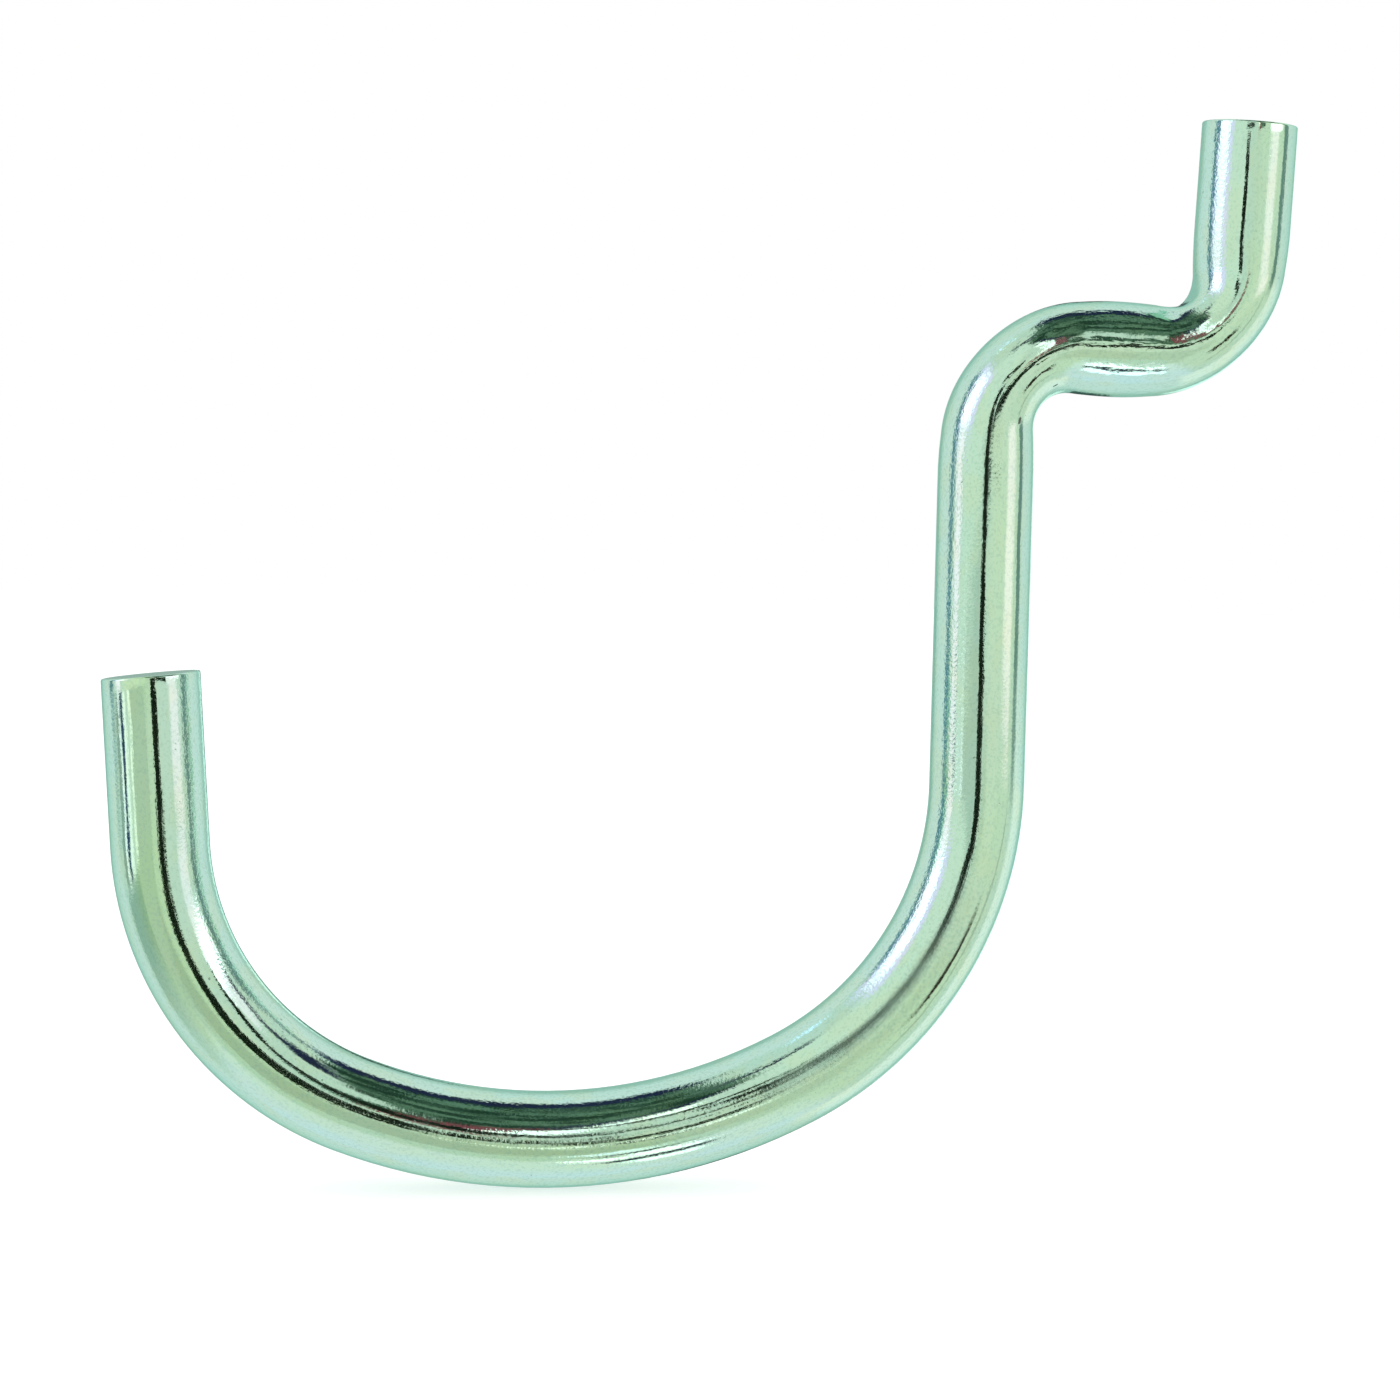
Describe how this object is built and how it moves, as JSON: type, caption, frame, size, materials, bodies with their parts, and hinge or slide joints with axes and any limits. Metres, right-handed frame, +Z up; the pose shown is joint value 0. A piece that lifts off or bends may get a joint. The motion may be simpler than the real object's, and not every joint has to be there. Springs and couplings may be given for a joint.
{
  "type": "pegboard hook",
  "caption": "Bright plated steel wire bent into a J-shaped pegboard hook, with an offset neck and an upturned peg that locks behind the board.",
  "frame": {"origin": "where the neck's axis crosses the front face of the board that the hook hangs on", "axes": "+Z up, +X into the wall from the board's front face, +Y across the hook's plane; the hook lies in the XZ plane with its open J towards -X"},
  "size_m": [0.0702, 0.006, 0.0643],
  "materials": {
    "wire": "bright zinc plate over drawn steel wire, mirror-like with faint green and violet tints, fine draw lines and small dark specks"
  },
  "bodies": {
    "root": {"hook": "wire"}
  },
  "joints": []
}
